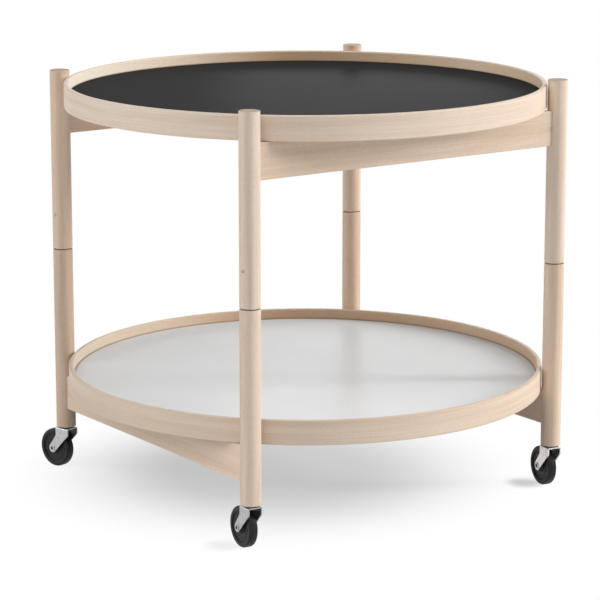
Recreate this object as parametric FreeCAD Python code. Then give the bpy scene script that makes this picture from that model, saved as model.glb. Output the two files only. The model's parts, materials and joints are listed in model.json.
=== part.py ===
import FreeCAD, Part
import math
import os

# Round tray table on castors: two trays in a folding beech frame.
# Millimetres. The origin is on the floor under the middle of the table, +Z up,
# +X along the upper rails and +Y along the lower rails.

# Trays
tray_diameter = 600.0
rim_height = 30.0
rim_thickness = 6.0
rim_edge_round = 1.5
groove_depth = 3.0
groove_clearance = 0.1
core_thickness = 2.0
laminate_thickness = 0.5
laminate_edge_gap = 0.2
tray_seat_gap = 0.3
tray_leg_clearance = 0.8
upper_rim_below_leg_top = 7.0

# Legs, each in two halves
leg_diameter = 25.0
lower_leg_length = 234.4
upper_leg_length = 228.6
leg_top_round = 0.8
leg_split_round = 1.0
leg_foot_round = 0.8
fold_gap = 1.7

# Rails, tenoned into the leg halves
rail_height = 43.7
rail_thickness = 9.0
rail_edge_round = 1.2
tenon_length = 9.0
tenon_thickness = 6.0
tenon_shoulder = 4.0
tenon_end_gap = 0.5
glue_gap = 0.05
foot_wall = 2.2

# Pivots in the leg splits
pivot_rod_diameter = 10.0
pivot_rod_lower_reach = 60.0
pivot_rod_above_lock = 15.0
pivot_rod_chamfer = 0.8
pivot_washer_diameter = 21.0
pivot_washer_thickness = 1.0
pivot_axial_gap = 0.1
running_clearance = 0.05
bore_end_gap = 1.0
lock_pin_diameter = 4.5
lock_pin_height = 44.5
lock_pin_turn = 16.0
lock_pin_recess = 0.3
lock_pin_tail = 3.5

# Castors
wheel_diameter = 50.0
wheel_width = 11.5
wheel_tread_round = 2.5
wheel_dish_depth = 1.2
wheel_dish_margin = 6.5
wheel_hub_wall = 5.0
wheel_hub_length = 14.6
wheel_hub_round = 0.6
castor_trail = 17.0
fork_side_gap = 0.4
fork_sheet = 1.6
fork_crown_gap = 3.05
fork_front_reach = 10.8
fork_rear_reach = 10.6
fork_front_skirt = 9.3
fork_rear_skirt = 11.4
fork_eye_radius = 5.7
fork_outline_round = 6.0
fork_bend_radius = 2.4
axle_diameter = 6.0
axle_head_diameter = 8.4
axle_head_thickness = 0.8
axle_drill_diameter = 4.4
axle_drill_depth = 3.5
stem_diameter = 11.0
stem_length = 22.0
stem_chamfer = 1.0
stem_neck_diameter = 8.0
stem_head_diameter = 12.5
stem_head_thickness = 1.4
castor_axial_gap = 0.15
castor_cap_diameter = 20.0
castor_cap_thickness = 1.45
# Where each castor trails to, in degrees from +X
castor_turns = {"left": 105.5, "front": 85.3, "right": 79.3, "back": 92.0}

# Plan of the frame. The tray just passes between the four legs, and the long
# side is a leg wider than the short side, so that the legs lie side by side
# when the frame is folded flat.
tray_radius = tray_diameter / 2
leg_radius = leg_diameter / 2
leg_circle_diameter = tray_diameter + 2 * tray_leg_clearance + leg_diameter
span_difference = leg_diameter + fold_gap
span_x = (span_difference + math.sqrt(2 * leg_circle_diameter**2 - span_difference**2)) / 2
span_y = span_x - span_difference
corners = {
    "left": (-span_x / 2, span_y / 2),
    "front": (-span_x / 2, -span_y / 2),
    "right": (span_x / 2, -span_y / 2),
    "back": (span_x / 2, span_y / 2),
}

# Heights above the floor
axle_z = wheel_diameter / 2
plate_bottom = wheel_diameter + fork_crown_gap
plate_top = plate_bottom + fork_sheet
front_bend_z = plate_top - fork_front_skirt
rear_bend_z = plate_top - fork_rear_skirt
leg_bottom = plate_top + castor_axial_gap + castor_cap_thickness
stem_bore_depth = stem_length + bore_end_gap
lower_rail_bottom = leg_bottom + stem_bore_depth + foot_wall
lower_rim_bottom = lower_rail_bottom + rail_height + tray_seat_gap
split_bottom = leg_bottom + lower_leg_length
split_top = split_bottom + pivot_washer_thickness + pivot_axial_gap
leg_top = split_top + upper_leg_length
upper_rim_bottom = leg_top - upper_rim_below_leg_top - rim_height
upper_rail_bottom = upper_rim_bottom - tray_seat_gap - rail_height
pivot_rod_upper_reach = lock_pin_height + pivot_rod_above_lock

# Sections that fit one another
rim_inner_radius = tray_radius - rim_thickness
panel_thickness = core_thickness + 2 * laminate_thickness
tenon_height = rail_height - 2 * tenon_shoulder
pivot_rod_radius = pivot_rod_diameter / 2
fork_inner_width = wheel_hub_length + 2 * fork_side_gap
fork_outer_width = fork_inner_width + 2 * fork_sheet

# Drawing allowance, so that a cutting tool passes right through a face
overcut = 2.0
vertical = FreeCAD.Vector(0, 0, 1)
origin = FreeCAD.Vector(0, 0, 0)


def point(x, y, z):
    return FreeCAD.Vector(x, y, z)


def rod(diameter, low, high):
    """Upright cylinder on the Z axis between two heights."""
    return Part.makeCylinder(diameter / 2, high - low, point(0, 0, low))


def slab(x_low, x_high, width, z_low, z_high):
    """Upright block along X, centred on the XZ plane."""
    return Part.makeBox(x_high - x_low, width, z_high - z_low, point(x_low, -width / 2, z_low))


def edges_at(shape, test):
    """Edges whose ends all pass the test."""
    return [edge for edge in shape.Edges if all(test(v.Point) for v in edge.Vertexes)]


def same(a, b):
    return abs(a - b) < 1e-4


def rounded(shape, radius, test):
    return shape.makeFillet(radius, edges_at(shape, test))


def chamfered(shape, size, test):
    return shape.makeChamfer(size, edges_at(shape, test))


def placed(shape, corner, turn=0.0):
    """A piece drawn about the Z axis, turned and moved to a leg's axis."""
    moved = shape.copy()
    moved.rotate(origin, vertical, turn)
    moved.translate(point(*corners[corner], 0))
    return moved


def rail_turns(corner):
    """Directions from a leg to its upper rail and to its lower rail."""
    x, y = corners[corner]
    return (0.0 if x < 0 else 180.0, 90.0 if y < 0 else -90.0)


def tray_rim(bottom):
    top = bottom + rim_height
    ring = rod(tray_diameter, bottom, top).cut(rod(2 * rim_inner_radius, bottom, top))
    ring = rounded(ring, rim_edge_round, lambda p: same(p.z, bottom) or same(p.z, top))
    middle = bottom + rim_height / 2
    half_groove = core_thickness / 2 + groove_clearance
    groove_diameter = 2 * (rim_inner_radius + groove_depth)
    return ring.cut(rod(groove_diameter, middle - half_groove, middle + half_groove))


def tray(name, bottom):
    """Bent rim with a laminated panel let into it at half height."""
    middle = bottom + rim_height / 2
    core_top = middle + core_thickness / 2
    core_bottom = middle - core_thickness / 2
    core_diameter = 2 * (rim_inner_radius + groove_depth - groove_clearance)
    laminate_diameter = 2 * (rim_inner_radius - laminate_edge_gap)
    return {
        name + "_rim": tray_rim(bottom),
        name + "_core": rod(core_diameter, core_bottom, core_top),
        name + "_top_laminate": rod(laminate_diameter, core_top, core_top + laminate_thickness),
        name + "_under_laminate": rod(laminate_diameter, core_bottom - laminate_thickness, core_bottom),
    }


def rail(span, bottom):
    """Board between two legs along X, coped to the legs, with a tenon at each end."""
    top = bottom + rail_height
    half = span / 2
    board = slab(-half, half, rail_thickness, bottom, top)
    board = board.makeFillet(rail_edge_round, [e for e in board.Edges if same(e.Length, span)])
    tenon_reach = half - leg_radius + tenon_length
    for side in (-half, half):
        cope = rod(leg_diameter + 2 * glue_gap, bottom - overcut, top + overcut)
        cope.translate(point(side, 0, 0))
        board = board.cut(cope)
    tenons = slab(-tenon_reach, tenon_reach, tenon_thickness,
                  bottom + tenon_shoulder, top - tenon_shoulder)
    return board.fuse(tenons).removeSplitter()


def mortise(rail_bottom, turn):
    """Pocket for a rail's tenon, in a leg on the Z axis."""
    low = rail_bottom + tenon_shoulder - glue_gap
    inner = leg_radius - tenon_length - tenon_end_gap
    pocket = slab(inner, leg_radius + overcut, tenon_thickness + 2 * glue_gap,
                  low, low + tenon_height + 2 * glue_gap)
    pocket.rotate(origin, vertical, turn)
    return pocket


def lock_pin_bore(diameter, inner, outer, turn):
    """Level cylinder through the pivot rod, from a point beyond the axis outwards."""
    bar = Part.makeCylinder(diameter / 2, outer - inner,
                            point(inner, 0, split_top + lock_pin_height), point(1, 0, 0))
    bar.rotate(origin, vertical, turn)
    return bar


def lock_turn(corner):
    return rail_turns(corner)[0] + 180.0 + lock_pin_turn


def upper_leg(corner):
    leg = rod(leg_diameter, split_top, leg_top)
    leg = rounded(leg, leg_top_round, lambda p: same(p.z, leg_top))
    leg = rounded(leg, leg_split_round, lambda p: same(p.z, split_top))
    bore_top = split_top + pivot_rod_upper_reach + bore_end_gap
    leg = leg.cut(rod(pivot_rod_diameter + 2 * glue_gap, split_top - overcut, bore_top))
    leg = leg.cut(mortise(upper_rail_bottom, rail_turns(corner)[0]))
    pin_end = -pivot_rod_radius - lock_pin_tail - glue_gap
    hole = lock_pin_bore(lock_pin_diameter + 2 * glue_gap, pin_end, leg_radius + overcut,
                         lock_turn(corner))
    return leg.cut(hole)


def lower_leg(corner):
    leg = rod(leg_diameter, leg_bottom, split_bottom)
    leg = rounded(leg, leg_split_round, lambda p: same(p.z, split_bottom))
    leg = rounded(leg, leg_foot_round, lambda p: same(p.z, leg_bottom))
    bore_bottom = split_bottom - pivot_rod_lower_reach - bore_end_gap
    leg = leg.cut(rod(pivot_rod_diameter + 2 * running_clearance, bore_bottom, split_bottom + overcut))
    leg = leg.cut(rod(stem_diameter + 2 * glue_gap, leg_bottom - overcut, leg_bottom + stem_bore_depth))
    return leg.cut(mortise(lower_rail_bottom, rail_turns(corner)[1]))


def pivot_rod(corner):
    low = split_bottom - pivot_rod_lower_reach
    high = split_top + pivot_rod_upper_reach
    bar = rod(pivot_rod_diameter, low, high)
    bar = chamfered(bar, pivot_rod_chamfer, lambda p: same(p.z, low) or same(p.z, high))
    return bar.cut(lock_pin_bore(lock_pin_diameter + 2 * glue_gap, -leg_radius, leg_radius, lock_turn(corner)))


def lock_pin(corner):
    return lock_pin_bore(lock_pin_diameter, -pivot_rod_radius - lock_pin_tail,
                         leg_radius - lock_pin_recess, lock_turn(corner))


def pivot_washer():
    washer = rod(pivot_washer_diameter, split_bottom, split_bottom + pivot_washer_thickness)
    return washer.cut(rod(pivot_rod_diameter + 2 * running_clearance, split_bottom, split_top))


def castor_cap():
    cap = rod(castor_cap_diameter, leg_bottom - castor_cap_thickness, leg_bottom)
    return cap.cut(rod(stem_neck_diameter + 2 * glue_gap, plate_top, leg_bottom))


def castor_stem():
    """Stem pressed into the leg, with a neck that the fork turns on and a riveted head."""
    stem_top = leg_bottom + stem_length
    head_top = plate_bottom - castor_axial_gap
    stem = rod(stem_diameter, leg_bottom, stem_top)
    stem = chamfered(stem, stem_chamfer, lambda p: same(p.z, stem_top))
    stem = stem.fuse(rod(stem_neck_diameter, head_top, leg_bottom))
    head = rod(stem_head_diameter, head_top - stem_head_thickness, head_top)
    return stem.fuse(head).removeSplitter()


def tangent_point(x, z, side):
    """Where a line from (x, z) touches the fork's eye, on its front (+1) or rear (-1)."""
    run = x - castor_trail
    rise = z - axle_z
    swing = math.acos(fork_eye_radius / math.hypot(run, rise))
    angle = math.atan2(rise, run) + side * swing
    return angle, point(castor_trail + fork_eye_radius * math.cos(angle), 0,
                        axle_z + fork_eye_radius * math.sin(angle))


def fork_outline():
    """Side view of the fork: upright skirt, then arms that slope back to the axle's eye."""
    front_top = point(-fork_front_reach, 0, plate_top)
    front_bend = point(-fork_front_reach, 0, front_bend_z)
    rear_top = point(fork_rear_reach, 0, plate_top)
    rear_bend = point(fork_rear_reach, 0, rear_bend_z)
    front_angle, front_touch = tangent_point(front_bend.x, front_bend.z, 1)
    rear_angle, rear_touch = tangent_point(rear_bend.x, rear_bend.z, -1)
    low_angle = (front_angle + rear_angle) / 2 + math.pi
    eye_bottom = point(castor_trail + fork_eye_radius * math.cos(low_angle), 0,
                       axle_z + fork_eye_radius * math.sin(low_angle))
    outline = [
        Part.LineSegment(front_top, front_bend).toShape(),
        Part.LineSegment(front_bend, front_touch).toShape(),
        Part.Arc(front_touch, eye_bottom, rear_touch).toShape(),
        Part.LineSegment(rear_touch, rear_bend).toShape(),
        Part.LineSegment(rear_bend, rear_top).toShape(),
        Part.LineSegment(rear_top, front_top).toShape(),
    ]
    return Part.Face(Part.Wire(outline))


def castor_fork():
    """Bent sheet: a plate on the swivel neck, with an arm down each side of the wheel."""
    face = fork_outline()
    face.translate(point(0, -fork_outer_width / 2, 0))
    block = face.extrude(point(0, fork_outer_width, 0))
    block = rounded(block, fork_outline_round, lambda p: same(p.z, front_bend_z) or same(p.z, rear_bend_z))
    long_top = [e for e in edges_at(block, lambda p: same(p.z, plate_top))
                if same(e.Length, fork_front_reach + fork_rear_reach)]
    block = block.makeFillet(fork_bend_radius, long_top)
    reach = castor_trail + fork_eye_radius + fork_front_reach
    room = slab(-reach, reach, fork_inner_width, 0, plate_bottom)
    room_top = [e for e in edges_at(room, lambda p: same(p.z, plate_bottom)) if same(e.Length, 2 * reach)]
    room = room.makeFillet(fork_bend_radius - fork_sheet, room_top)
    fork = block.cut(room)
    fork = fork.cut(rod(stem_neck_diameter + 2 * running_clearance, plate_bottom - overcut, plate_top + overcut))
    return fork.cut(axle_bar(axle_diameter + 2 * glue_gap, fork_outer_width + overcut))


def axle_bar(diameter, length):
    return Part.makeCylinder(diameter / 2, length, point(castor_trail, -length / 2, axle_z), point(0, 1, 0))


def castor_axle():
    """Rivet through the fork's arms, headed on both ends and drilled hollow there."""
    length = fork_outer_width + 2 * axle_head_thickness
    rivet = axle_bar(axle_diameter, fork_outer_width)
    heads = axle_bar(axle_head_diameter, length).cut(axle_bar(axle_head_diameter + overcut, fork_outer_width))
    drilled = axle_bar(axle_drill_diameter, length + overcut)
    drilled = drilled.cut(axle_bar(axle_drill_diameter + overcut, length - 2 * axle_drill_depth))
    return rivet.fuse(heads).removeSplitter().cut(drilled)


def castor_wheel():
    """Moulded wheel with a rounded tread, dished sides and a hub that stands out round the axle."""
    wheel = axle_bar(wheel_diameter, wheel_width)
    wheel = wheel.makeFillet(wheel_tread_round, [e for e in wheel.Edges if e.Closed])
    dish = axle_bar(wheel_diameter - 2 * wheel_dish_margin, wheel_width)
    web = axle_bar(wheel_diameter, wheel_width - 2 * wheel_dish_depth)
    hub = axle_bar(axle_diameter + 2 * wheel_hub_wall, wheel_hub_length)
    hub = hub.makeFillet(wheel_hub_round, [e for e in hub.Edges if e.Closed])
    wheel = wheel.cut(dish.cut(web)).fuse(hub).removeSplitter()
    return wheel.cut(axle_bar(axle_diameter + 2 * running_clearance, wheel_hub_length + overcut))


pieces = {}
pieces.update(tray("upper_tray", upper_rim_bottom))
pieces.update(tray("lower_tray", lower_rim_bottom))

upper_rail = rail(span_x, upper_rail_bottom)
lower_rail = rail(span_y, lower_rail_bottom)
lower_rail.rotate(origin, vertical, 90)
for side_name, side in (("front", -1), ("back", 1)):
    pieces["upper_rail_" + side_name] = upper_rail.translated(point(0, side * span_y / 2, 0))
for side_name, side in (("left", -1), ("right", 1)):
    pieces["lower_rail_" + side_name] = lower_rail.translated(point(side * span_x / 2, 0, 0))

castor_pieces = {"fork": castor_fork(), "axle": castor_axle(), "wheel": castor_wheel()}
for corner in corners:
    pieces["upper_leg_" + corner] = placed(upper_leg(corner), corner)
    pieces["lower_leg_" + corner] = placed(lower_leg(corner), corner)
    pieces["pivot_rod_" + corner] = placed(pivot_rod(corner), corner)
    pieces["lock_pin_" + corner] = placed(lock_pin(corner), corner)
    pieces["pivot_washer_" + corner] = placed(pivot_washer(), corner)
    pieces["castor_cap_" + corner] = placed(castor_cap(), corner)
    pieces["castor_stem_" + corner] = placed(castor_stem(), corner)
    for piece_name, shape in castor_pieces.items():
        pieces["castor_" + piece_name + "_" + corner] = placed(shape, corner, castor_turns[corner])

os.makedirs("parts", exist_ok=True)
for name, shape in pieces.items():
    shape.exportStep(os.path.join("parts", name + ".step"))
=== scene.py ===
"""A round tray table on castors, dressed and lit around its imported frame.

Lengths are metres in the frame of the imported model: the origin on the floor under the middle of
the table, +Z up, +X along the upper rails and +Y along the lower rails. Colours are written as
screen values from 0 to 255.
"""
import json
import math

import bmesh
import bpy
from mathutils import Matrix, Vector


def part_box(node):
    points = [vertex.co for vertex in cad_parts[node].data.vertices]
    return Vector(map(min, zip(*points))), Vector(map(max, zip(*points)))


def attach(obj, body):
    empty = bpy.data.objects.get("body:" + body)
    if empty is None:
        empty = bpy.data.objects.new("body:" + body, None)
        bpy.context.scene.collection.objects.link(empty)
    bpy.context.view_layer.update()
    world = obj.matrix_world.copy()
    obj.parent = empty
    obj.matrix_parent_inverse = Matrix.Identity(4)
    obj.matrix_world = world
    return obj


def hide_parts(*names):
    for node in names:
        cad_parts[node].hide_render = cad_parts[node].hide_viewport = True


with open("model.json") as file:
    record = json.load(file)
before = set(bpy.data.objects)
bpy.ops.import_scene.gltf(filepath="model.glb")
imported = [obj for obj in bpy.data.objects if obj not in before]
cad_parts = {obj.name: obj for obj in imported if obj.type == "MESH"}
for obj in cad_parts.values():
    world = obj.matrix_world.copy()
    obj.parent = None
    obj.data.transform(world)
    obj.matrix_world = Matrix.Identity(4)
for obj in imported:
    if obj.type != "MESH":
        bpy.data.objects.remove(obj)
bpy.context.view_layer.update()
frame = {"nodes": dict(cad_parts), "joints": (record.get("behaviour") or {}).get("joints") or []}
nodes = frame["nodes"]

CORNERS = ("left", "front", "right", "back")
joints = {joint["name"]: joint for joint in frame["joints"]}
rolls = {corner: joints["roll_" + corner] for corner in CORNERS}


def linear(value):
    """A screen value from 0 to 255 as a share of linear light, by the usual screen curve."""
    share = value / 255.0
    if share <= 0.04045:
        return share / 12.92
    return ((share + 0.055) / 1.055) ** 2.4


def paint(red, green, blue):
    """A colour written as screen values, as the linear colour that a shader takes."""
    return (linear(red), linear(green), linear(blue), 1.0)


# The rays that show a surface, directly, in a reflection or through something clear
SEEING_RAYS = ("Is Camera Ray", "Is Glossy Ray", "Is Transmission Ray")
NEW_STOP = 0.5


class Shade:
    """A socket of a node tree. Arithmetic on it adds Math nodes."""

    def __init__(self, tree, socket=None):
        self.tree = tree
        self.socket = socket

    def node(self, kind, settings=None, inputs=None, output=0):
        """Adds a node: its settings first, then the values or links of its sockets."""
        node = self.tree.nodes.new("ShaderNode" + kind)
        for name, value in (settings or {}).items():
            if name == "stops":
                self.place_stops(node.color_ramp, value)
            else:
                setattr(node, name, value)
        self.feed(node, inputs or {})
        return Shade(self.tree, node.outputs[output])

    @staticmethod
    def place_stops(ramp, stops):
        """Gives a colour ramp its stops, each a position and a colour."""
        while len(ramp.elements) < len(stops):
            ramp.elements.new(NEW_STOP)
        for element, (position, colour) in zip(ramp.elements, stops):
            element.position = position
            element.color = colour

    def feed(self, node, inputs):
        """Sets or links a node's sockets."""
        for name, value in inputs.items():
            if isinstance(value, Shade):
                self.tree.links.new(value.socket, node.inputs[name])
            else:
                node.inputs[name].default_value = value

    def maths(self, operation, *values):
        return self.node("Math", {"operation": operation}, dict(enumerate(values)))

    def __add__(self, other):
        return self.maths("ADD", self, other)

    def __radd__(self, other):
        return self.maths("ADD", other, self)

    def __sub__(self, other):
        return self.maths("SUBTRACT", self, other)

    def __rsub__(self, other):
        return self.maths("SUBTRACT", other, self)

    def __mul__(self, other):
        return self.maths("MULTIPLY", self, other)

    def __rmul__(self, other):
        return self.maths("MULTIPLY", other, self)

    def __truediv__(self, other):
        return self.maths("DIVIDE", self, other)

    def __rtruediv__(self, other):
        return self.maths("DIVIDE", other, self)

    def __abs__(self):
        return self.maths("ABSOLUTE", self)

    def step(self, low, high):
        """0 below low, 1 above high, and smooth between them."""
        ends = {"Value": self, "From Min": low, "From Max": high}
        return self.node("MapRange", {"interpolation_type": "SMOOTHSTEP"}, ends, "Result")

    def mix(self, first, second):
        """The first colour where this mask is 0, the second where it is 1."""
        return self.node("Mix", {"data_type": "RGBA"}, {0: self, 6: first, 7: second}, 2)

    def coordinates(self, kind):
        """The place or the normal of a point, in its object's own axes."""
        return self.node("TexCoord", output=kind)

    def vector(self, operation, *others, output="Vector"):
        """Vector maths on this vector and others."""
        inputs = dict(enumerate((self,) + others))
        return self.node("VectorMath", {"operation": operation}, inputs, output)

    def distance(self, point):
        """How far this place is from a point."""
        return self.vector("DISTANCE", point, output="Value")

    def split(self):
        """This vector's parts by their axes."""
        parts = self.node("SeparateXYZ", None, {0: self}).socket.node.outputs
        return {axis: Shade(self.tree, parts[axis.upper()]) for axis in "xyz"}

    def noise(self, scale, detail=2.0, roughness=0.5):
        """Noise over this vector, from 0 to 1."""
        inputs = {"Vector": self, "Scale": scale, "Detail": detail, "Roughness": roughness}
        return self.node("TexNoise", None, inputs, "Fac")

    def bump(self, strength, distance):
        """The normal of a surface with this relief."""
        return self.node("Bump", None, {"Strength": strength, "Distance": distance, "Height": self})

    def seen(self):
        """1 for the rays that show a surface, 0 for those that only bring its light to others."""
        camera, glossy, transmission = [self.node("LightPath", output=kind) for kind in SEEING_RAYS]
        return self.maths("MINIMUM", camera + glossy + transmission, 1.0)


def new_material(name):
    """A bare material: its tree as a Shade, and its shader node."""
    material = bpy.data.materials.new(name)
    material.use_nodes = True
    tree = material.node_tree
    tree.nodes.clear()
    output = tree.nodes.new("ShaderNodeOutputMaterial")
    surface = tree.nodes.new("ShaderNodeBsdfPrincipled")
    tree.links.new(surface.outputs["BSDF"], output.inputs["Surface"])
    return material, Shade(tree), surface


def finish(shade, surface, **values):
    """Sets or links the shader's sockets, named with underscores for spaces."""
    shade.feed(surface, {name.replace("_", " "): value for name, value in values.items()})


# Beech: its tones, and the layers of its figure, which are noise drawn out along the grain
BEECH_PALE = (224, 204, 185)
BEECH_STREAK = (208, 183, 158)
BEECH_FLECK = (182, 150, 120)
BEECH_END = (150, 121, 95)
BEECH_HANDLED = (204, 177, 148)
# Painted shade for the corner between a rim and its panel
BEECH_CORNER_SHADE = (112, 88, 66)
BANDS = {"stretch": 0.03, "scale": 90.0, "detail": 3.0, "roughness": 0.55}
STREAKS = {"stretch": 0.02, "scale": 520.0, "detail": 3.0, "roughness": 0.6}
PORES = {"stretch": 0.05, "scale": 2600.0, "detail": 2.0}
FLECKS = {"stretch": 0.14, "scale": 1900.0, "detail": 1.0}
PORE_STEP = (0.55, 0.8)
FLECK_STEP = (0.6, 0.74)
FIGURE_STEP = (0.32, 0.72)
BAND_SHARE = 0.55
STREAK_SHARE = 0.45
FLECK_SHARE = 0.5
PORE_SHARE = 0.12
STREAK_RELIEF = 0.6
FLECK_RELIEF = 0.4
PORE_RELIEF = 0.5
BEECH_BUMP = (0.25, 0.0003)
BEECH_ROUGHNESS = 0.5
BAND_ROUGHNESS = 0.12
BEECH_SHEEN = 1.0
# Moves the figure of each piece away from that of the one before
PIECE_SHIFT = Vector((0.37, 0.53, 0.29))

# The legs' ends: dark end grain with rings, and a narrow soaked band beside it
END_FACING = (0.75, 0.95)
END_DEPTH = 0.0015
END_SHARE = 0.6
RING_SHARE = 0.4
SOAKED_SHARE = 0.15
RINGS = {"Scale": 130.0, "Distortion": 1.2, "Detail": 2.0}

# The rims: each is a strip bent round and glued end to end
RIM_RADIUS = 0.3
HALF_STRIP = math.pi * RIM_RADIUS
JOINT_BEARING = math.radians(-43.3)
# The glue joint lies beside the right leg; its dark band is widened into a painted shadow of the leg
GLUE_AND_SHADOW_REACH = 0.003
GLUE_AND_SHADOW_LINE = (HALF_STRIP - GLUE_AND_SHADOW_REACH, HALF_STRIP - GLUE_AND_SHADOW_REACH / 2)
GLUE_AND_SHADOW_SHARE = 0.6
# The inner side of a rim: painted light and shade from the middle of the bent strip to its glued ends
# pale where the inner side is lit, darker and warmer where it lies in shade
INNER_LIGHT_AND_SHADE_STOPS = (
    (0.08, (229, 214, 196)),
    (0.26, (234, 211, 186)),
    (0.42, (213, 171, 131)),
    (0.72, (224, 192, 158)),
)
INNER_LIGHT_AND_SHADE_TONES = {"upper_tray_rim": (0.1, -0.03), "lower_tray_rim": (-0.055, 0.04)}
INNER_LIGHT_AND_SHADE_SHARE = 0.85
# The product of place and normal, which is below zero where a rim faces the table's axis
INNER_FACING = (-RIM_RADIUS / 2, 0.0)
# Painted shade in the corner between a rim and its panel, and the upper edge, which hands have polished
CORNER_SHADE_HEIGHT = 0.0018
CORNER_SHADE_SHARE = 0.6
HANDLED_DEPTH = 0.0035
HANDLED_SHARE = 0.35
HANDLED_POLISH = 0.14
PATCHES = {"scale": 14.0, "detail": 2.0}
PATCH_STEP = (0.35, 0.7)


def toned(colour, tone, warmth):
    """A colour made lighter by a share of itself, and warmer by another."""
    red, green, blue = colour
    return paint(red * (1.0 + tone), green * (1.0 + tone - warmth / 2), blue * (1.0 + tone - warmth))


def grain_axes(shade, grain, axes, moved_axes):
    """How far a point of a piece is along the grain, across it and up. Along a rim, this is counted
    from the middle of the bent strip, which lies opposite the glue joint."""
    if grain != "round":
        across, up = [moved_axes[axis] for axis in "xyz" if axis != grain]
        return moved_axes[grain], across, up
    ahead = axes["x"] * math.cos(JOINT_BEARING) + axes["y"] * math.sin(JOINT_BEARING)
    aside = axes["x"] * math.sin(JOINT_BEARING) - axes["y"] * math.cos(JOINT_BEARING)
    along = shade.maths("ARCTAN2", aside, ahead * -1.0) * RIM_RADIUS
    across = shade.maths("SQRT", axes["x"] * axes["x"] + axes["y"] * axes["y"])
    return along, across, moved_axes["z"]


def end_grain(shade, height, low, high, moved):
    """The mask of a leg's ends: full on the end faces, with rings, and faint just beside them."""
    end = abs(shade.coordinates("Normal").split()["z"]).step(*END_FACING)
    rings = shade.node("TexWave", {"wave_type": "RINGS", "rings_direction": "Z"},
                       {"Vector": moved, **RINGS}, "Fac")
    soaked = height.step(high - END_DEPTH, high) + (1.0 - height.step(low, low + END_DEPTH))
    return shade.maths("MINIMUM", end * (END_SHARE + rings * RING_SHARE) + soaked * SOAKED_SHARE, 1.0)


def painted_corner_shade(rim, height):
    """The mask of the painted shade in the band where a rim meets its panel."""
    tray = rim.replace("_rim", "")
    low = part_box(tray + "_under_laminate")[0].z
    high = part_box(tray + "_top_laminate")[1].z
    return height.step(low - CORNER_SHADE_HEIGHT, low) * (1.0 - height.step(high, high + CORNER_SHADE_HEIGHT))


def beech(node, grain, tone, warmth, turn):
    """Soaped beech for one piece. The grain runs along x, y or z, or round the table's axis."""
    material, shade, surface = new_material("beech_" + node)
    low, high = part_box(node)
    place = shade.coordinates("Object")
    axes = place.split()
    height = axes["z"]
    moved = place.vector("ADD", PIECE_SHIFT * turn)
    along, across, up = grain_axes(shade, grain, axes, moved.split())

    def layer(stretch, **noise):
        fibres = shade.node("CombineXYZ", None, {0: along * stretch, 1: across, 2: up})
        return fibres.noise(**noise)

    bands = layer(**BANDS)
    streaks = layer(**STREAKS)
    pores = layer(**PORES).step(*PORE_STEP)
    flecks = layer(**FLECKS).step(*FLECK_STEP)
    figure = (bands * BAND_SHARE + streaks * STREAK_SHARE).step(*FIGURE_STEP)
    flecked = flecks * FLECK_SHARE + pores * PORE_SHARE
    relief = streaks * STREAK_RELIEF - flecks * FLECK_RELIEF - pores * PORE_RELIEF
    roughness = BEECH_ROUGHNESS + bands * BAND_ROUGHNESS
    colour = figure.mix(toned(BEECH_PALE, tone, warmth), toned(BEECH_STREAK, tone, warmth))
    if grain == "round":
        outward = place.vector("DOT_PRODUCT", shade.coordinates("Normal"), output="Value")
        inner = 1.0 - outward.step(*INNER_FACING)
        strip = abs(along)
        # Painted light and shade on the rim's inner side
        stops = [(position, toned(inside, *INNER_LIGHT_AND_SHADE_TONES[node])) for position, inside in INNER_LIGHT_AND_SHADE_STOPS]
        painted_inner_light_and_shade = shade.node("ValToRGB", {"stops": stops}, {"Fac": strip / HALF_STRIP})
        colour = (inner * INNER_LIGHT_AND_SHADE_SHARE).mix(colour, painted_inner_light_and_shade)
    colour = flecked.mix(colour, toned(BEECH_FLECK, tone, warmth))
    if grain == "z":
        ends = end_grain(shade, height, low.z, high.z, moved)
        colour = ends.mix(colour, toned(BEECH_END, tone, warmth))
    if grain == "round":
        handled = height.step(high.z - HANDLED_DEPTH, high.z) * place.noise(**PATCHES).step(*PATCH_STEP)
        glue_and_shadow = strip.step(*GLUE_AND_SHADOW_LINE)
        # Painted shade in the corner where a rim's inner side meets its panel
        colour = (inner * painted_corner_shade(node, height) * CORNER_SHADE_SHARE).mix(colour, paint(*BEECH_CORNER_SHADE))
        colour = (handled * HANDLED_SHARE).mix(colour, toned(BEECH_HANDLED, tone, warmth))
        # The glue line, widened into a painted shadow of the right leg
        colour = (glue_and_shadow * GLUE_AND_SHADOW_SHARE).mix(colour, toned(BEECH_END, tone, warmth))
        roughness = roughness - handled * HANDLED_POLISH
    finish(shade, surface, Base_Color=colour, Roughness=roughness, Specular_IOR_Level=BEECH_SHEEN,
           Normal=relief.bump(*BEECH_BUMP))
    return material


# Laminate: soft clouds, a fine matt grain, wiping marks, and a dark line of painted shade round the
# panel's edge
CLOUDS = {"scale": 7.0, "detail": 3.0}
CLOUD_STEP = (0.3, 0.7)
CLOUD_SHARE = 0.6
CLOUD_ROUGHNESS = 0.02
MATT_GRAIN = {"scale": 2600.0, "detail": 2.0}
MATT_ROUGHNESS = 0.06
MATT_BUMP = (0.12, 0.00008)
SCUFFS = {"scale": 160.0, "detail": 2.0}
SCUFF_STRETCH = Vector((0.12, 1.0, 1.0))
SCUFF_STEP = (0.62, 0.8)
SCUFF_SHARE = 0.4
SCUFF_ROUGHNESS = 0.04
LEVEL = Vector((1.0, 1.0, 0.0))
PANEL_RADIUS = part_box("upper_tray_top_laminate")[1].x
EDGE_SHADE_DEPTH = 0.004
EDGE_SHADE_SHARE = 0.6


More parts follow.
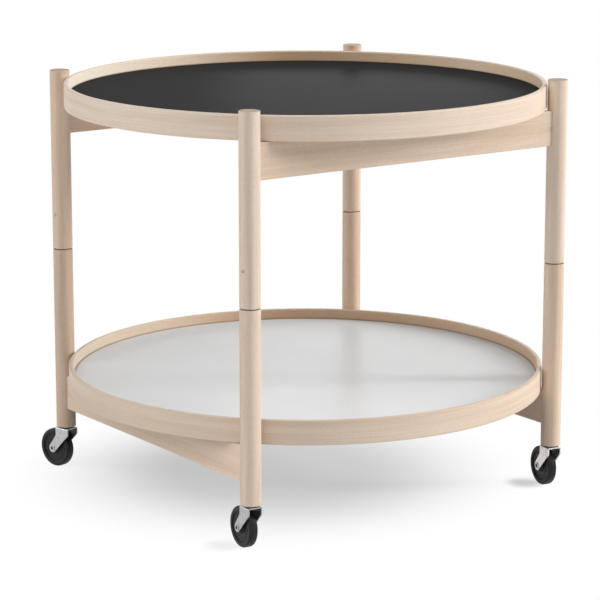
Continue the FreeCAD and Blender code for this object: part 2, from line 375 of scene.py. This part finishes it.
def laminate(name, colour, worn, edge, roughness, sheen):
    """High-pressure laminate with a fine matt grain, faint wiping marks and a dark line of painted
    shade at its edge.
    """
    material, shade, surface = new_material(name)
    place = shade.coordinates("Object")
    clouds = place.noise(**CLOUDS).step(*CLOUD_STEP)
    grain = place.noise(**MATT_GRAIN)
    scuffs = place.vector("MULTIPLY", SCUFF_STRETCH).noise(**SCUFFS).step(*SCUFF_STEP)
    reach = place.vector("MULTIPLY", LEVEL).vector("LENGTH", output="Value")
    # Painted shade in a band round the panel's edge, where it meets the rim
    edge_shade_line = reach.step(PANEL_RADIUS - EDGE_SHADE_DEPTH, PANEL_RADIUS) * EDGE_SHADE_SHARE
    wiped = (clouds * CLOUD_SHARE + scuffs * SCUFF_SHARE).mix(paint(*colour), paint(*worn))
    finish(shade, surface, Base_Color=edge_shade_line.mix(wiped, paint(*edge)),
           Roughness=(roughness + clouds * CLOUD_ROUGHNESS + grain * MATT_ROUGHNESS
                      + scuffs * SCUFF_ROUGHNESS),
           Specular_IOR_Level=sheen, Normal=grain.bump(*MATT_BUMP))
    return material


# Steel: a faint mottle and fine drawing marks
MOTTLE = {"scale": 240.0, "detail": 3.0}
MOTTLE_STEP = (0.3, 0.7)
MOTTLE_ROUGHNESS = 0.1
MARKS = {"scale": 3200.0, "detail": 2.0}
MARK_ROUGHNESS = 0.08
MARK_BUMP = (0.1, 0.00005)


def metal(name, colour, dull, roughness):
    """Plated or blackened steel with a faint mottle and drawing marks."""
    material, shade, surface = new_material(name)
    place = shade.coordinates("Object")
    mottle = place.noise(**MOTTLE).step(*MOTTLE_STEP)
    marks = place.noise(**MARKS)
    finish(shade, surface, Base_Color=mottle.mix(paint(*colour), paint(*dull)), Metallic=1.0,
           Roughness=roughness + mottle * MOTTLE_ROUGHNESS + marks * MARK_ROUGHNESS,
           Normal=marks.bump(*MARK_BUMP))
    return material


# Moulded plastic and rubber: thin dust, and the fine grain of the mould
DUST = {"scale": 130.0, "detail": 3.0}
DUST_STEP = (0.35, 0.75)
DUST_ROUGHNESS = 0.1
MOULD_GRAIN = {"scale": 2800.0, "detail": 1.0}
MOULD_BUMP = (0.15, 0.0001)


def moulded(name, colour, dusty, roughness, sheen):
    """Moulded plastic or rubber with a fine spark-eroded grain."""
    material, shade, surface = new_material(name)
    place = shade.coordinates("Object")
    dust = place.noise(**DUST).step(*DUST_STEP)
    grain = place.noise(**MOULD_GRAIN)
    finish(shade, surface, Base_Color=dust.mix(paint(*colour), paint(*dusty)),
           Roughness=roughness + dust * DUST_ROUGHNESS, Specular_IOR_Level=sheen,
           Normal=grain.bump(*MOULD_BUMP))
    return material


FLUFF = {"scale": 900.0, "detail": 4.0}


def fibreboard(name, colour, pale, roughness):
    """Raw brown fibreboard, which shows only where a tray's edge is open."""
    material, shade, surface = new_material(name)
    fluff = shade.coordinates("Object").noise(**FLUFF)
    finish(shade, surface, Base_Color=fluff.mix(paint(*colour), paint(*pale)), Roughness=roughness)
    return material


# Castor wheel: sizes across the axle, which lies along Y while the wheel is shaped
WHEEL_STEPS = 96
WHEEL_WIDTH = 0.0115
TREAD_RADIUS = 0.0249
TREAD_ROUND = 0.0025
TREAD_ROUND_STEPS = 5
# The mould seam: half its width at its top and at its foot, and its height
SEAM_TOP = 0.00015
SEAM_FOOT = 0.0004
SEAM_PLANES = (-SEAM_FOOT, -SEAM_TOP, SEAM_TOP, SEAM_FOOT)
SEAM_HEIGHT = 0.0001
# How far each ring of the wheel's side goes in towards the axle, and how far it then stands out
SIDE_RINGS = (
    (0.0030, 0.0),
    (0.0002, -0.0003),
    (0.0004, 0.0),
    (0.0002, 0.0003),
    (0.0002, -0.0012),
    (0.0016, 0.0),
    (0.0002, 0.0003),
    (0.0006, 0.0),
    (0.0002, -0.0003),
    (0.0022, 0.0),
    (0.0002, 0.0003),
    (0.0006, 0.0),
    (0.0002, -0.0003),
    (0.0041, 0.0),
    (0.0006, 0.0006),
    (0.0002, 0.0018),
    (0.0003, 0.00035),
)
BORE_RADIUS = 0.00305
EDGE_ROUND = 0.00012
EDGE_ROUND_STEPS = 2
EDGE_ANGLE = math.radians(35.0)
SMOOTH_ANGLE = math.radians(40.0)


def choose(piece, kind, test):
    """In edit mode, selects only the faces or edges of a piece that pass a test."""
    bpy.ops.mesh.select_mode(type="FACE" if kind == "faces" else "EDGE")
    bpy.ops.mesh.select_all(action="DESELECT")
    mesh = bmesh.from_edit_mesh(piece.data)
    for part in getattr(mesh, kind):
        if test(part):
            part.select_set(True)
    bmesh.update_edit_mesh(piece.data)


def lies_round(edge):
    """True for an edge that runs round the wheel, and doesn't cross its tread."""
    first, second = edge.verts
    return abs(first.co.y - second.co.y) < WHEEL_WIDTH / 2


def on_seam(face):
    """True for a face in the middle of the tread, and not in the bore."""
    middle = face.calc_center_median()
    return abs(middle.y) < SEAM_TOP and face.normal.dot(middle) > BORE_RADIUS


def mould_wheel():
    """A castor wheel on the Y axis: rounded tread with a seam, ringed dished sides, hub and bore."""
    bpy.ops.object.select_all(action="DESELECT")
    bpy.ops.mesh.primitive_cylinder_add(vertices=WHEEL_STEPS, radius=TREAD_RADIUS, depth=WHEEL_WIDTH,
                                        rotation=(math.pi / 2, 0.0, 0.0))
    wheel = bpy.context.object
    bpy.ops.object.transform_apply(location=True, rotation=True, scale=True)
    bpy.ops.object.mode_set(mode="EDIT")
    choose(wheel, "edges", lies_round)
    bpy.ops.mesh.bevel(offset=TREAD_ROUND, segments=TREAD_ROUND_STEPS, affect="EDGES")
    choose(wheel, "faces", lambda face: len(face.verts) == WHEEL_STEPS)
    radius = TREAD_RADIUS - TREAD_ROUND
    for inwards, outwards in SIDE_RINGS:
        bpy.ops.mesh.inset(thickness=inwards, depth=outwards, use_individual=True)
        radius -= inwards
    bpy.ops.mesh.inset(thickness=radius - BORE_RADIUS, use_individual=True)
    bpy.ops.mesh.delete(type="FACE")
    choose(wheel, "edges", lambda edge: edge.is_boundary)
    bpy.ops.mesh.bridge_edge_loops()
    for place in SEAM_PLANES:
        bpy.ops.mesh.select_all(action="SELECT")
        bpy.ops.mesh.bisect(plane_co=(0.0, place, 0.0), plane_no=(0.0, 1.0, 0.0))
    choose(wheel, "faces", on_seam)
    bpy.ops.transform.shrink_fatten(value=SEAM_HEIGHT)
    bpy.ops.object.mode_set(mode="OBJECT")
    rounding = wheel.modifiers.new("edge_round", "BEVEL")
    rounding.limit_method = "ANGLE"
    rounding.angle_limit = EDGE_ANGLE
    rounding.width = EDGE_ROUND
    rounding.segments = EDGE_ROUND_STEPS
    bpy.ops.object.modifier_apply(modifier=rounding.name)
    bpy.ops.object.shade_smooth_by_angle(angle=SMOOTH_ANGLE)
    return wheel


def fit_wheels(material):
    """Puts a copy of the wheel on each castor's axle, in place of the plain one."""
    pattern = mould_wheel()
    pattern.data.materials.append(material)
    for corner, roll in rolls.items():
        wheel = pattern.copy()
        wheel.data = pattern.data.copy()
        wheel.name = "moulded_wheel_" + corner
        bpy.context.collection.objects.link(wheel)
        wheel.location = roll["pos_m"]
        axle_x, axle_y, _ = roll["axis"]
        wheel.rotation_euler = (0.0, 0.0, math.atan2(-axle_x, axle_y))
        bpy.ops.object.select_all(action="DESELECT")
        wheel.select_set(True)
        bpy.context.view_layer.objects.active = wheel
        bpy.ops.object.transform_apply(location=True, rotation=True, scale=True)
        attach(wheel, "wheel_" + corner)
        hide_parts("castor_wheel_" + corner)
    bpy.data.objects.remove(pattern)


def each(*stems):
    """The names of the pieces that every corner has."""
    return [stem + "_" + corner for stem in stems for corner in CORNERS]


def dress(names, material):
    """Gives CAD nodes their finish."""
    for name in names:
        slots = nodes[name].data.materials
        slots.clear()
        slots.append(material)


# Each wooden piece's grain direction, and how much lighter and how much warmer it is than the rest
WOOD = {
    "upper_leg_left": ("z", -0.03, 0.048),
    "upper_leg_front": ("z", -0.005, -0.03),
    "upper_leg_right": ("z", 0.02, -0.03),
    "upper_leg_back": ("z", 0.015, 0.06),
    "lower_leg_left": ("z", -0.075, 0.055),
    "lower_leg_front": ("z", -0.02, 0.0),
    "lower_leg_right": ("z", 0.005, 0.03),
    "lower_leg_back": ("z", -0.005, 0.085),
    "upper_rail_front": ("x", 0.01, 0.01),
    "upper_rail_back": ("x", -0.01, 0.095),
    "lower_rail_left": ("y", 0.03, 0.033),
    # lower_rail_right: partly its own tone, partly painted light standing in for fill light from the
    # floor
    "lower_rail_right": ("y", 0.07, 0.06),
    "upper_tray_rim": ("round", 0.03, -0.03),
    "lower_tray_rim": ("round", -0.012, 0.0),
}
# Each laminate's edge colour is painted shade, where its panel meets the rim
BLACK_LAMINATE = {"colour": (37, 37, 37), "worn": (41, 41, 41), "edge": (22, 20, 18),
                  "roughness": 0.41, "sheen": 0.003}
WHITE_LAMINATE = {"colour": (228, 229, 230), "worn": (224, 225, 226), "edge": (118, 100, 84),
                  "roughness": 0.28, "sheen": 0.035}
RAW_FIBREBOARD = {"colour": (120, 92, 64), "pale": (158, 126, 92), "roughness": 0.85}
DULL_PIN = {"colour": (172, 162, 150), "dull": (156, 146, 134), "roughness": 0.45}
ZINC_PLATE = {"colour": (182, 182, 180), "dull": (166, 167, 168), "roughness": 0.32}
# A paler zinc for the right castor's fork: a painted reflection of bright surroundings
ZINC_PAINTED_REFLECTION = {"colour": (236, 230, 229), "dull": (224, 218, 217), "roughness": 0.32}
BLACKENED_STEEL = {"colour": (92, 84, 76), "dull": (70, 64, 58), "roughness": 0.45}
TAN_NYLON = {"colour": (150, 130, 112), "dusty": (132, 113, 96), "roughness": 0.5, "sheen": 0.5}
BLACK_NYLON = {"colour": (38, 37, 36), "dusty": (52, 50, 48), "roughness": 0.5, "sheen": 0.5}
WHEEL_BLACK = {"colour": (24, 24, 23), "dusty": (34, 34, 32), "roughness": 0.42, "sheen": 0.22}

for turn, (node, (grain, tone, warmth)) in enumerate(WOOD.items()):
    dress([node], beech(node, grain, tone, warmth, turn))
dress(["upper_tray_top_laminate", "lower_tray_under_laminate"],
      laminate("black_laminate", **BLACK_LAMINATE))
dress(["lower_tray_top_laminate", "upper_tray_under_laminate"],
      laminate("white_laminate", **WHITE_LAMINATE))
dress(["upper_tray_core", "lower_tray_core"], fibreboard("raw_fibreboard", **RAW_FIBREBOARD))
dress(each("lock_pin"), metal("dull_pin", **DULL_PIN))
dress(each("castor_fork", "castor_axle", "castor_stem"), metal("zinc_plate", **ZINC_PLATE))
# Painted reflection: the right castor's fork is paler than the other forks
dress(["castor_fork_right"], metal("bright_zinc", **ZINC_PAINTED_REFLECTION))
dress(each("pivot_rod"), metal("blackened_steel", **BLACKENED_STEEL))
dress(each("pivot_washer"), moulded("tan_nylon", **TAN_NYLON))
dress(each("castor_cap"), moulded("black_nylon", **BLACK_NYLON))
wheel_black = moulded("wheel_black", **WHEEL_BLACK)
dress(each("castor_wheel"), wheel_black)
fit_wheels(wheel_black)


def heading(bearing, height):
    """The direction at a bearing from +X and at a height over the horizon."""
    return Vector((math.cos(bearing) * math.cos(height), math.sin(bearing) * math.cos(height),
                   math.sin(height)))


# Camera, as found from the photograph
CAMERA_PLACE = Vector((-1.8920, -2.6994, 0.9613))
CAMERA_BEARING = math.radians(55.0902)
CAMERA_PITCH = math.radians(12.4573)
CAMERA_LENS = 159.85
CAMERA_SENSOR = 36.0
RIGHT_BEARING = CAMERA_BEARING - math.pi / 2
AHEAD = heading(CAMERA_BEARING, 0.0)
ASIDE = heading(RIGHT_BEARING, 0.0)

# Floor: its glow fades under the table and at each castor's foot, where the shadow lies
FLOOR_SIZE = 60.0
FLOOR_COLOUR = (0.95, 0.95, 0.95, 1.0)
FLOOR_GLOW = 0.5
FLOOR_FADE = (0.11, 0.35)
FOOT_FADE = (0.008, 0.036)
FOOT_SHARES = {"left": 0.1, "front": 0.45, "right": 0.85, "back": 0.85}
# How far the middle of a shadow lies to the right of what casts it, and behind it
SHADOW_SHIFT = (-0.045, 0.03)
FOOT_SHIFT = (-0.022, 0.006)

# Lamps: degrees from the right of the table, round by its back, degrees over the horizon, and how
# many degrees wide they look. A lamp without a gleam lights surfaces but isn't reflected in them.
LAMPS = {
    "low_right": {"bearing": 0, "height": 14, "spread": 14, "strength": 2.02, "gleam": False},
    "high_right": {"bearing": 0, "height": 35, "spread": 45, "strength": 1.3, "gleam": True},
    "low_left": {"bearing": 180, "height": 8, "spread": 30, "strength": 0.8, "gleam": True},
    "front_left": {"bearing": 222, "height": 45, "spread": 55, "strength": 0.97, "gleam": True},
    "front": {"bearing": 270, "height": 40, "spread": 60, "strength": 0.26, "gleam": True},
    "top": {"bearing": 90, "height": 87, "spread": 100, "strength": 0.23, "gleam": True},
}
# Lit panels behind the table, seen only as a soft gleam on the trays
PANEL_AWAY = 1.4
PANELS = {
    "high_panel": {"right": 0.12, "height": 0.66, "width": 0.52, "tall": 0.12, "strength": 0.98},
    "low_panel": {"right": 0.0, "height": 0.38, "width": 0.9, "tall": 0.16, "strength": 0.65},
}
SKY_STRENGTH = 0.03
WHITE = (1.0, 1.0, 1.0, 1.0)


def shifted(point, right, away):
    """A point moved to the right and away, as the camera sees it."""
    return point + ASIDE * right + AHEAD * away


def add_object(name, data):
    """Puts a lamp or a camera into the scene."""
    holder = bpy.data.objects.new(name, data)
    bpy.context.collection.objects.link(holder)
    return holder


def aim(holder, direction):
    """Turns a lamp or a camera to face a direction."""
    holder.rotation_euler = direction.to_track_quat("-Z", "Y").to_euler()


def lay_floor():
    """A wide white floor, whose own glow keeps the shadow on it as pale as the photograph's."""
    bpy.ops.object.select_all(action="DESELECT")
    bpy.ops.mesh.primitive_plane_add(size=FLOOR_SIZE)
    floor = bpy.context.object
    floor.name = "studio_floor"
    material, shade, surface = new_material("white_floor")
    finish(shade, surface, Base_Color=FLOOR_COLOUR, Roughness=1.0, Specular_IOR_Level=0.0)
    place = shade.coordinates("Object")
    middle = shifted(Vector(), *SHADOW_SHIFT)
    dim = 1.0 - place.distance(middle).step(*FLOOR_FADE)
    for corner, roll in rolls.items():
        foot = shifted(Vector((roll["pos_m"][0], roll["pos_m"][1], 0.0)), *FOOT_SHIFT)
        share = FOOT_SHARES[corner]
        dim = shade.maths("MAXIMUM", dim, share - place.distance(foot).step(*FOOT_FADE) * share)
    glowing = shade.seen() * (1.0 - dim * (1.0 - FLOOR_GLOW))
    lit = Shade(shade.tree, surface.outputs["BSDF"])
    glow = shade.node("Emission", None, {"Color": WHITE, "Strength": 1.0})
    mixed = shade.node("MixShader", None, {0: glowing, 1: lit, 2: glow})
    output = next(node for node in shade.tree.nodes if node.type == "OUTPUT_MATERIAL")
    shade.feed(output, {"Surface": mixed})
    floor.data.materials.append(material)


def spread_sky():
    """A faint sky that is white where it is seen."""
    world = bpy.data.worlds.new("studio_sky")
    bpy.context.scene.world = world
    world.use_nodes = True
    world.node_tree.nodes.clear()
    shade = Shade(world.node_tree)
    strength = SKY_STRENGTH + shade.seen() * (1.0 - SKY_STRENGTH)
    sky = shade.node("Background", None, {"Color": WHITE, "Strength": strength})
    output = world.node_tree.nodes.new("ShaderNodeOutputWorld")
    shade.feed(output, {"Surface": sky})


def hang_lamps():
    """Soft lamps at both sides, in front and above, as wide as their spread."""
    for name, lamp in LAMPS.items():
        light = bpy.data.lights.new(name, "SUN")
        light.energy = lamp["strength"]
        light.angle = math.radians(lamp["spread"])
        holder = add_object(name, light)
        source = heading(RIGHT_BEARING + math.radians(lamp["bearing"]), math.radians(lamp["height"]))
        aim(holder, -source)
        holder.visible_glossy = lamp["gleam"]


def hang_panels():
    """Panels behind the table, which face the camera and show only in reflections."""
    for name, panel in PANELS.items():
        light = bpy.data.lights.new(name, "AREA")
        light.shape = "RECTANGLE"
        light.size = panel["width"]
        light.size_y = panel["tall"]
        light.energy = panel["strength"]
        holder = add_object(name, light)
        holder.location = shifted(Vector((0.0, 0.0, panel["height"])), panel["right"], PANEL_AWAY)
        aim(holder, -AHEAD)
        holder.visible_camera = False
        holder.visible_diffuse = False


def set_camera():
    """The camera at the photograph's viewing angle."""
    camera = bpy.data.cameras.new("photo_camera")
    camera.lens = CAMERA_LENS
    camera.sensor_width = CAMERA_SENSOR
    holder = add_object("photo_camera", camera)
    holder.location = CAMERA_PLACE
    aim(holder, heading(CAMERA_BEARING, -CAMERA_PITCH))
    bpy.context.scene.camera = holder


lay_floor()
spread_sky()
hang_lamps()
hang_panels()
set_camera()
bpy.context.scene.view_settings.view_transform = "Standard"
